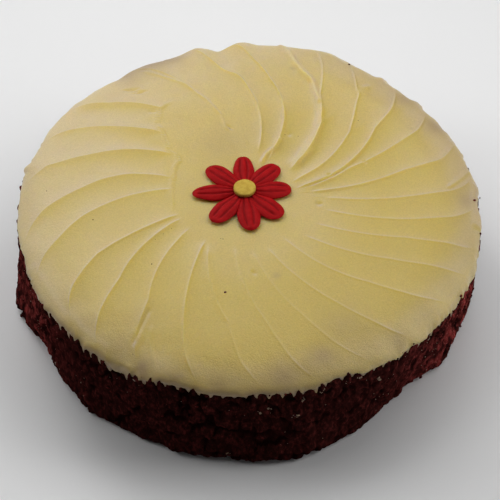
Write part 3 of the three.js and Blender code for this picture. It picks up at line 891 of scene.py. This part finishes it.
# ---- material nodes
def set_inputs(tree, node, inputs):
    """Give a node's inputs their values: another node's output, a colour or a number."""
    for key, value in inputs.items():
        socket = node.inputs[key]
        if isinstance(value, bpy.types.NodeSocket):
            tree.links.new(value, socket)
        elif socket.type == "RGBA":
            socket.default_value = (*value, 1)
        else:
            socket.default_value = value


def add_node(tree, kind, inputs, **settings):
    node = tree.nodes.new("ShaderNode" + kind)
    for key, value in settings.items():
        setattr(node, key, value)
    set_inputs(tree, node, inputs)
    return node


def make_material(name, look, upright=1):
    """A material whose `look` takes coordinates in mm and returns its shader's inputs."""
    material = bpy.data.materials.new(name)
    material.use_nodes = True
    tree = material.node_tree
    factors = (1 / MM, 1 / MM, upright / MM)
    place = add_node(tree, "TexCoord", {}).outputs["Object"]
    place = add_node(tree, "VectorMath", {0: place, 1: factors}, operation="MULTIPLY").outputs[0]
    set_inputs(tree, tree.nodes["Principled BSDF"], look(tree, place))
    return material


def attribute(tree, name):
    """A number that the mesh carries at each point."""
    return add_node(tree, "Attribute", {}, attribute_name=name).outputs["Fac"]


def noise_node(tree, place, size, detail=2, roughness=0.5):
    """A noise whose lumps are `size` millimetres across."""
    inputs = {"Vector": place, "Scale": 1 / size, "Detail": detail, "Roughness": roughness}
    return add_node(tree, "TexNoise", inputs).outputs["Fac"]


def ramp(tree, value, stops):
    """Colours along a value: stops are (position, (r, g, b))."""
    node = add_node(tree, "ValToRGB", {0: value})
    elements = node.color_ramp.elements
    while len(elements) < len(stops):
        elements.new(0.5)
    for element, (position, colour) in zip(elements, stops):
        element.position = position
        element.color = (*colour, 1)
    return node.outputs["Color"]


def map_range(tree, value, from_low, from_high, to_low, to_high):
    """A value moved from one range to another and kept inside it."""
    inputs = {"From Min": from_low, "From Max": from_high, "To Min": to_low, "To Max": to_high}
    return add_node(tree, "MapRange", {"Value": value, **inputs}).outputs[0]


def varied(tree, place, size, detail, *ends):
    """A noise brought to a range of values by the four ends that map_range takes."""
    return map_range(tree, noise_node(tree, place, size, detail), *ends)


def calculate(tree, operation, first, second):
    return add_node(tree, "Math", {0: first, 1: second}, operation=operation).outputs[0]


def mix(tree, factor, first, second):
    """A colour between two others."""
    return add_node(tree, "Mix", {0: factor, 6: first, 7: second}, data_type="RGBA").outputs[2]


def bump(tree, height, distance, **below):
    """A bump whose full height is `distance` millimetres, over another one given as Normal."""
    inputs = {"Height": height, "Strength": 1, "Distance": distance * MM, **below}
    return add_node(tree, "Bump", inputs).outputs[0]


# ---- materials
def frosting_look(tree, place):
    """Cream frosting: light yellow, slightly waxy, with a fine grain, browner where it is thinner and where
    shade is painted, and with shade, sheen and crest highlights painted in its tones of yellow.
    """
    drift = varied(tree, place, 14, 3, 0.3, 0.7, -0.12, 0.12)
    # The yellow attribute paints shade and sheen: yellower on slopes turned from the window and half-way out
    # at the front, paler as if lit along crests, the edge and the back half.
    hue = map_range(tree, calculate(tree, "ADD", attribute(tree, "yellow"), drift), -1.5, 1.5, 0, 1)
    tone = ramp(tree, hue, [
        (0, (0.65, 0.518, 0.285)),
        (0.33, (0.635, 0.491, 0.192)),
        (0.5, (0.622, 0.474, 0.147)),
        (0.67, (0.608, 0.458, 0.112)),
        (1, (0.59, 0.435, 0.07)),
    ])
    grain = varied(tree, place, 0.55, 2, 0.3, 0.7, 0.935, 1.085)
    tone = add_node(tree, "VectorMath", {0: tone, "Scale": grain}, operation="SCALE").outputs[0]
    thin = attribute(tree, "thin")
    fine = bump(tree, noise_node(tree, place, 0.5, 3, 0.65), 0.2)
    return {
        # brown where the frosting is thinner, and as painted shade at the edges and behind the flower
        "Base Color": mix(tree, thin, tone, (0.3, 0.19, 0.12)),
        "Subsurface Weight": map_range(tree, thin, 0, 0.6, 0.8, 0.1),
        "Subsurface Radius": (1, 0.75, 0.2),
        "Subsurface Scale": 6 * MM,
        "Roughness": varied(tree, place, 5, 3, 0.3, 0.7, 0.3, 0.4),
        "Specular IOR Level": 0.5,
        "Normal": bump(tree, noise_node(tree, place, 2.5), 0.12, Normal=fine),
    }


def crumb_look(tree, place):
    """Moist deep red crumb, with painted shade in its pockets, and painted light and glints on its lit flanks
    and back.
    """
    tone = ramp(tree, noise_node(tree, place, 1.4, 4, 0.65), [
        (0.3, (0.012, 0.0035, 0.003)),
        (0.5, (0.033, 0.0078, 0.0068)),
        (0.75, (0.125, 0.022, 0.0195)),
    ])
    # painted light: brighter red crumb on the lit flanks and back
    blotch = varied(tree, place, 3, 3, 0.45, 0.62, 0.03, 1)
    dust = calculate(tree, "MULTIPLY", attribute(tree, "dust"), blotch)
    dusty = mix(tree, map_range(tree, dust, 0, 1, 0, 0.9), tone, (0.34, 0.048, 0.044))
    # Painted shade: the crumb is drawn darker in its pockets and crevices.
    pocket_shade = map_range(tree, attribute(tree, "crumb"), -0.8, 0.3, 0.88, 0)
    pocket_shaded = mix(tree, pocket_shade, dusty, (0.009, 0.002, 0.0017))
    # painted glints: pale specks where the painted light falls
    glint_specks = map_range(tree, noise_node(tree, place, 0.6, 2, 0.6), 0.56, 0.66, 0, 1)
    return {
        "Base Color": mix(tree, calculate(tree, "MULTIPLY", glint_specks, dust), pocket_shaded, (0.38, 0.1, 0.09)),
        "Roughness": varied(tree, place, 0.9, 3, 0.35, 0.65, 0.4, 0.8),
        "Specular IOR Level": 0,
        "Normal": bump(tree, noise_node(tree, place, 0.8, 3, 0.6), 0.18),
    }


def petal_look(tree, place):
    """Matt red sugar paste, with shade painted in the petals' grooves, at their roots and on the hub."""
    tones = [(0.3, (0.3, 0.0042, 0.0054)), (0.7, (0.4, 0.0066, 0.0084))]
    tone = ramp(tree, noise_node(tree, place, 2.5, 3), tones)
    # painted shade, carried by the groove attribute
    painted_shade = map_range(tree, attribute(tree, "groove"), 0.2, 1, 0, 0.5)
    return {
        "Base Color": mix(tree, painted_shade, tone, (0.12, 0.002, 0.003)),
        "Roughness": 0.55,
        "Specular IOR Level": 0.05,
        "Normal": bump(tree, noise_node(tree, place, 0.35), 0.03),
    }


def button_look(tree, place):
    """Grainy yellow sugar, with brown grains round its foot."""
    tones = [(0.35, (0.51, 0.33, 0.046)), (0.65, (0.6, 0.42, 0.068))]
    tone = ramp(tree, noise_node(tree, place, 1.6, 3), tones)
    grain = varied(tree, place, 0.35, 2, 0.5, 0.62, 0, 1)
    foot = map_range(tree, attribute(tree, "foot"), 0, 1, 0.06, 0.8)
    brown = calculate(tree, "MULTIPLY", grain, foot)
    return {
        "Base Color": mix(tree, brown, tone, (0.22, 0.05, 0.015)),
        "Roughness": 0.7,
        "Specular IOR Level": 0.15,
        "Normal": bump(tree, noise_node(tree, place, 0.4), 0.06),
    }


def floor_look(*_):
    return {"Base Color": (0.9, 0.9, 0.9), "Roughness": 0.9}


# ---- stage, light and camera
VIEW_ELEVATION = 47.2  # degrees above the horizon
VIEW_DISTANCE = 6.5  # rim radii
VIEW_HEIGHT = 41  # of the point on the axis round which the camera is placed
AIM_DROP, AIM_RIGHT = 17.3, 1.2  # how far under and to the right of that point it looks
LENS = 108.5  # mm, on Blender's 36 mm sensor
FLOOR_HALF = 2500
LIT = (0, 0, 0.04)  # what the lights point at, in metres
LIGHTS = [  # (name, azimuth and elevation in degrees, distance and size in metres, power in watts)
    ("near_left_back", 135, 60, 0.45, 0.3, 0.46),
    ("near_left", 180, 50, 0.45, 0.3, 0.19),
    ("near_back", 90, 60, 0.45, 0.3, 0.22),
    ("near_right_back", 45, 60, 0.45, 0.3, 0.48),
    ("near_right", 0, 55, 0.5, 0.3, 0.15),
    ("window", 120, 25, 1.1, 0.4, 2.3),
    ("back", 90, 35, 1.2, 0.6, 0.45),
    ("left", 170, 25, 1.1, 0.4, 2.15),
    ("right_low", -3, 12, 1, 0.3, 1.3),
    ("front_right_low", -32, 5, 1, 0.3, 0.8),
    ("right", 5, 35, 1.1, 0.5, 2.1),
]
WORLD_LIGHT = 0.02


def build_floor():
    corners = [(x * FLOOR_HALF, y * FLOOR_HALF, 0) for x, y in ((-1, -1), (1, -1), (1, 1), (-1, 1))]
    floor = make_object("floor", (corners, [(0, 1, 2, 3)]))
    floor.data.materials.append(make_material("pale_floor", floor_look))


def area_light(name, azimuth, elevation, distance, size, power):
    light = bpy.data.lights.new(name, "AREA")
    light.shape = "DISK"
    light.size, light.energy = size, power
    lamp = add_object(name, light)
    lift = np.radians(elevation)
    out = Vector(polar(np.cos(lift), azimuth, np.sin(lift)))
    lamp.location = out * distance + Vector(LIT)
    lamp.rotation_euler = (-out).to_track_quat("-Z", "Y").to_euler()


def build_light():
    """Soft studio light, mostly from the back and left, and a faint even light from all round."""
    for settings in LIGHTS:
        area_light(*settings)
    world = bpy.data.worlds.new("studio")
    world.use_nodes = True
    tree = world.node_tree
    set_inputs(tree, tree.nodes["Background"], {"Color": (1, 1, 1), "Strength": WORLD_LIGHT})
    bpy.context.scene.world = world
    bpy.context.scene.view_settings.view_transform = "Standard"


def build_camera():
    camera = add_object("camera", bpy.data.cameras.new("camera"))
    camera.data.lens = LENS
    camera.data.clip_start, camera.data.clip_end = 0.05, 20
    tilt = np.radians(VIEW_ELEVATION)
    back = Vector((0, -np.cos(tilt), np.sin(tilt)))
    up = Vector((0, np.sin(tilt), np.cos(tilt)))
    middle = Vector((*AXIS, VIEW_HEIGHT)) * MM
    camera.location = middle + back * VIEW_DISTANCE * RIM_RADIUS * MM
    aim = middle + Vector((AIM_RIGHT * MM, 0, 0)) - up * AIM_DROP * MM
    camera.rotation_euler = (aim - camera.location).to_track_quat("-Z", "Y").to_euler()
    bpy.context.scene.camera = camera


# ---- the whole
def settle(piece, material, slot, *nodes):
    """Finish a piece: its material and the CAD nodes that it stands for; its slot is not used."""
    piece.data.materials.append(material)
    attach(piece, "root")
    if nodes:
        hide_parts(*nodes)


build_camera()
build_floor()
build_light()
red = make_material("red_crumb", crumb_look, UPRIGHT)
cream = make_material("cream_frosting", frosting_look)
frosting, surface = build_frosting()
settle(build_sponge(), red, "sponge_crumb", "sponge")
settle(frosting, cream, "cream_frosting", "frosting")
settle(build_flower(), make_material("red_sugar", petal_look), "red_sugar", "flower")
settle(build_button(), make_material("yellow_sugar", button_look), "yellow_sugar", "flower_centre")
settle(build_crumbs(surface), red, "sponge_crumb")
settle(build_smears(), cream, "cream_frosting")
